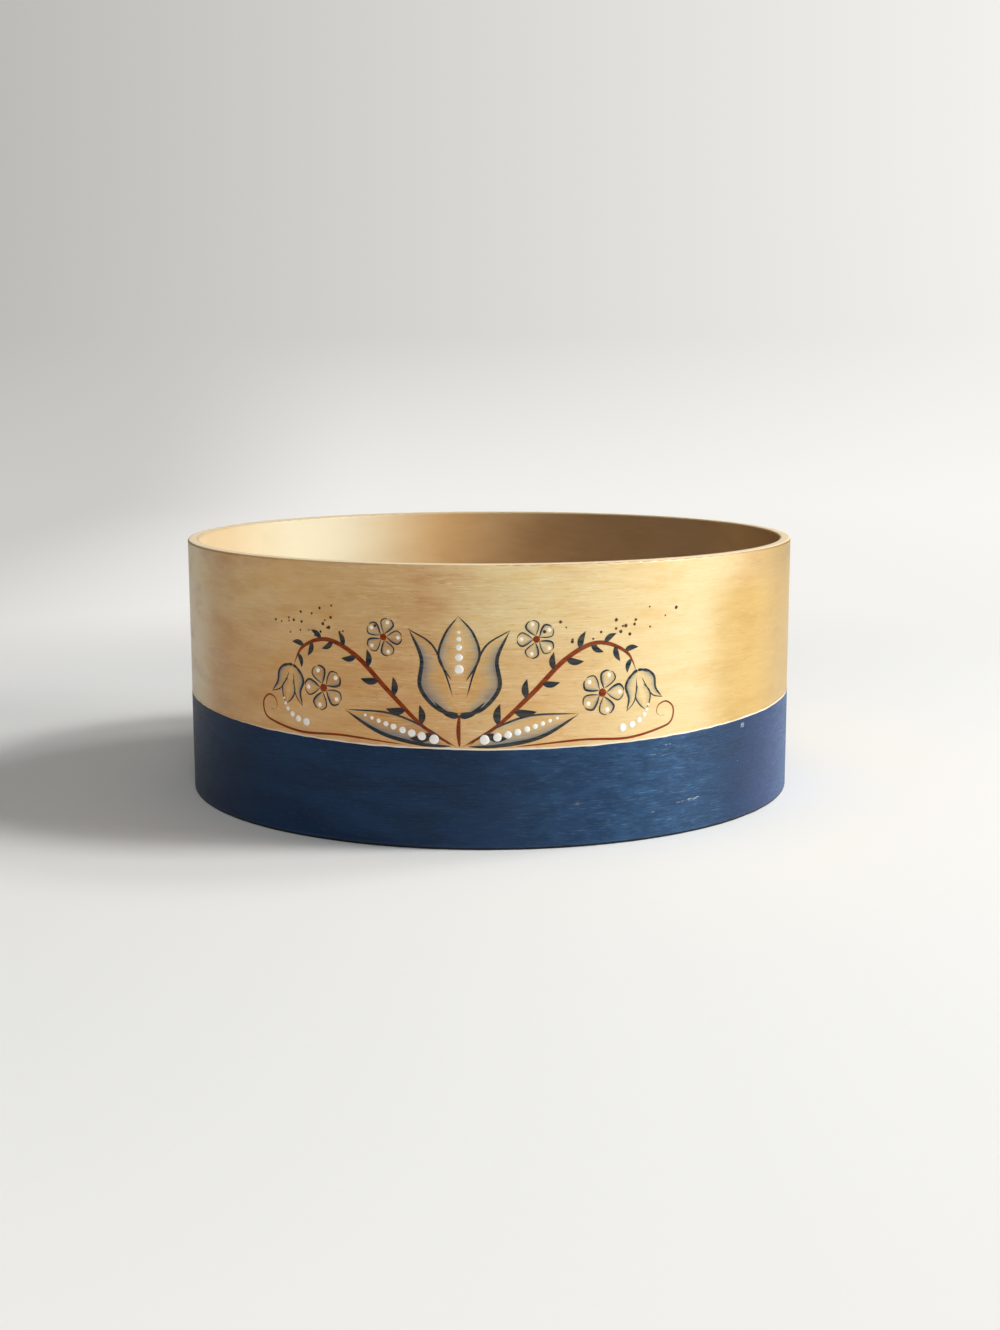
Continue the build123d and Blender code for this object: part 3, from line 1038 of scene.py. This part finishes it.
for _ in range(specks):
    spread = hand_sway.gauss(0, 1), hand_sway.gauss(0, 1)
    side = hand_sway.choice((-1, 1))
    dab(paints["umber"], (side * (56 + 11 * spread[0]), 42 + 3.4 * spread[1]), hand_sway.uniform(0.6, 1.4))
print("faces of paint:", {colour: len(bm.faces) for colour, bm in paints.items()})

# %% [markdown]
# ### Paint that lets the wood through
#
# Opaque craft paint dries with a low sheen. Brushed out, it is never quite even: it lies thick in
# the middle of a stroke, thin over raised fibres, and paler where it was dragged. Transparency
# would show that too, but it is slow and exports badly. So the material mixes the wall's own birch
# with the pigment by the `cover` layer, and a fading stroke melts into the wood under it.

# %% The ornament's paint
def brush_paint(name, thick, thin, roughness=0.5):
    """Opaque craft paint in one pigment, thick and thin, over varnished birch."""
    material, tree = new_material(name)
    wood = add(tree, "Group", node_tree=birch)
    cover = add(tree, "Attribute", attribute_name="cover")["Fac"]
    on_fibre = add(tree, "MapRange", [wood["Fibre"], 0.34, 0.66])[0]
    bare = add(tree, "MapRange", [cover, 0.25, 1.0, 0.75, 0.10])[0]
    lost = add(tree, "Math", [on_fibre, bare], operation="MULTIPLY")[0]
    kept = add(tree, "Math", [1.0, lost], operation="SUBTRACT")[0]
    amount = add(tree, "Math", [cover, kept], operation="MULTIPLY")[0]
    uv = add(tree, "UVMap", uv_map="brushed")[0]
    bristle_mark = (1 / 9, 1 / 0.35, 1)     # 9 mm long and 0.35 mm wide, coarser than life to show
    bristle = add(tree, "VectorMath", [uv, bristle_mark], operation="MULTIPLY")[0]
    streak = add(tree, "TexNoise", {"Vector": bristle, "Scale": 1.0, "Detail": 2.0})[0]
    streak_wide = add(tree, "MapRange", [streak, 0.3, 0.7])[0]
    veil = add(tree, "MapRange", [cover, 1.0, 0.35])[0]
    thinned = add(tree, "Math", [streak_wide, veil], operation="MAXIMUM")[0]
    pigment = coated(tree, paint_card(thick), [(thin, thinned)])
    tone = add(tree, "Mix", {
        FACTOR: amount, COLOUR_A: wood["Colour"], COLOUR_B: pigment,
    }, data_type="RGBA")[MIXED]
    gloss = add(tree, "Mix", {FACTOR: amount, 2: wood["Roughness"], 3: roughness}, data_type="FLOAT")[0]
    relief = add(tree, "Mix", {FACTOR: amount, 2: wood["Relief"], 3: streak}, data_type="FLOAT")[0]
    surface(tree, relief, 0.04 * MM, {
        "Base Color": tone, "Roughness": gloss, "IOR": 1.48, "Specular IOR Level": 0.12,
    })
    return material


primer = brush_paint("cream_primer", "#F6F3EC", "#E9E2D4", roughness=0.6)
add_piece("pale_edge_line", edge_bm, primer, thickness=0.03 * MM)
for colour, piece_name, thick, thin in (
    ("slate", "ornament_slate_shading", "#25465C", "#8399A5"),
    ("rust", "ornament_rust_stems", "#741E02", "#90330A"),
    ("navy", "ornament_navy_leaves_and_lines", "#121F28", "#1F3542"),
    ("white", "ornament_white_berries", "#FFFEFA", "#FAF6EC"),
    ("umber", "ornament_umber_specks", "#3C200C", "#553214"),
):
    paint = brush_paint(f"{colour}_brush_paint", thick, thin)
    add_piece(piece_name, paints[colour], paint, thickness=0.05 * MM)

# %% [markdown]
# ## Wear on the blue
#
# A used box shows where it has been knocked and rubbed. The blue coat has a star-shaped chip on the
# right, a few crumbs missing, and pale scuffs, which run along the grain because the brushed paint
# gives way there first. Noise would scatter such marks all over, so these few are put where they
# are, by an angle in degrees and a height in millimetres.

# %% Chips and scuffs
wear_bm = new_bmesh()


def on_coat(degrees, height):
    """The ornament's millimetres of a place on the coat, from its angle and its height in mm."""
    angle = math.radians(degrees)
    return (angle - ornament_middle) * outer_radius / MM, height - line_height(angle) / MM


def scuff(degrees, height, length, width, rise, thickest=0.8):
    """A rubbed streak on the coat that starts at a place and runs along the grain."""
    start = on_coat(degrees, height)
    path = laid([(0, 0), (length / 2, rise * 0.35), (length, rise)], start, sway=0.08)
    stroke(wear_bm, path, width, leaf, lift=0.14, thickest=thickest)


def chip(degrees, height, size, points=4):
    """An irregular fleck of lost paint: a fan of faces with a ragged rim."""
    cover = wear_bm.verts.layers.float["cover"]
    spot = on_coat(degrees, height)
    disc = bmesh.ops.create_circle(wear_bm, cap_ends=True, cap_tris=True, segments=2 * points, radius=0.5)
    for vert in disc["verts"]:
        ragged = size * hand_sway.uniform(0.45, 1.0) if vert.co.length > 0.1 else 0
        vert.co = on_ornament(spot[0] + vert.co.x * ragged, spot[1] + vert.co.y * ragged * 0.8, 0.125)
        vert[cover] = 1


chip(-39.65, 36.5, 4.0, points=7)
chip(-23.0, 38.2, 1.1)
chip(-41.0, 23.0, 0.9)
chip(-59.0, 34.6, 0.7)
chip(-58.1, 34.8, 0.6)
scuff(-56.9, 12.1, 6.0, 0.8, 0.5)
scuff(-54.2, 12.6, 6.5, 1.6, 0.3, thickest=1.0)
scuff(-76.4, 16.0, 4.5, 1.3, 0.2, thickest=0.4)
scuff(-62.4, 31.7, 6.5, 0.5, 0.15, thickest=0.6)
scuff(-62.0, 10.1, 2.5, 0.6, 0.1)
print("worn places:", len(wear_bm.faces), "faces before they get their thickness")

# %% [markdown]
# ### Rubbed blue paint
#
# In a scuff the blue is left only as dull, pale specks along the grain. A pale paint of its own
# would look laid on. This one starts from the coat's blue and pales by the strokes' `cover`, so a
# light scuff stays faint.

# %% The paint that is left there
worn_blue, tree = new_material("rubbed_blue_paint")
strip = strip_millimetres(tree)[0]
blue, ridges = blue_paint_tone(tree, strip)
cover = add(tree, "Attribute", attribute_name="cover")["Fac"]
speck = grain(tree, strip, (2.2, 1, 0.35), 2.0, low=0.38, high=0.62)
amount = add(tree, "Math", [speck, cover], operation="MULTIPLY")[0]
surface(tree, speck, 0.03 * MM, {
    "Base Color": coated(tree, blue, [("#9FB0BE", amount)]),
    "Roughness": add(tree, "MapRange", [amount, 0.0, 1.0, 0.5, 0.7])[0],
    "IOR": 1.5, "Specular IOR Level": 0.22,
})
add_piece("blue_coat_chips_and_scuffs", wear_bm, worn_blue, thickness=0.03 * MM)

# %% [markdown]
# ## Glue in the lap
#
# The strip's two ends are glued where they lap. The joint is planed to long tapers, so its glue
# line slants through the wall from the outer face to the inner one. It shows as a thin amber line
# on the rim and foot, and as an upright line where each end stops. The model leaves the gap open
# along an arc through three points, so a flat grid is bent along the same arc and fills it.

# %% The film of glue between the tapers
edge_gap = 0.5 * MM
outer_root = outer_radius - lap_tip_thickness - glue_thickness / 2
inner_root = inner_radius + lap_tip_thickness - glue_thickness / 2
tip, middle, root = (
    Vector((radius * math.cos(angle), radius * math.sin(angle)))
    for radius, angle in (
        (outer_root, lap_outer_tip),
        ((outer_root + inner_root) / 2, (lap_outer_tip + lap_inner_tip) / 2),
        (inner_root, lap_inner_tip),
    )
)
side_a, side_b = middle - tip, root - tip
cross = 2 * side_a.cross(side_b)
arc_centre = tip + Vector((
    (side_b.y * side_a.length_squared - side_a.y * side_b.length_squared) / cross,
    (side_a.x * side_b.length_squared - side_b.x * side_a.length_squared) / cross,
))
start = tip - arc_centre
sweep_angle = start.angle_signed(root - arc_centre)
glue_bm = new_bmesh()
grid = bmesh.ops.create_grid(glue_bm, x_segments=48, y_segments=2, size=0.5)
for vert in grid["verts"]:
    turned = start.copy()
    turned.rotate(Matrix.Rotation(-sweep_angle * (vert.co.x + 0.5), 2))
    height = edge_gap + (vert.co.y + 0.5) * (body_height - 2 * edge_gap)
    vert.co = (*(arc_centre + turned), height)
print(f"the film is bent to a radius of {start.length / MM:.1f} mm")

# %% Hide glue, which dries to a cloudy brown amber, glossier than the wood beside it
glue_material, tree = new_material("hide_glue_dried_amber")
cloud = grain(tree, strip_millimetres(tree)[0], (3, 1, 3), 2.0)
surface(tree, cloud, 0.02 * MM, {
    "Base Color": coated(tree, paint_card("#5A3A1C"), [("#7A5228", cloud)]),
    "Roughness": add(tree, "MapRange", [cloud, 0.0, 1.0, 0.35, 0.5])[0], "IOR": 1.5,
})
add_piece("lap_glue_line", glue_bm, glue_material, thickness=0.14 * MM)
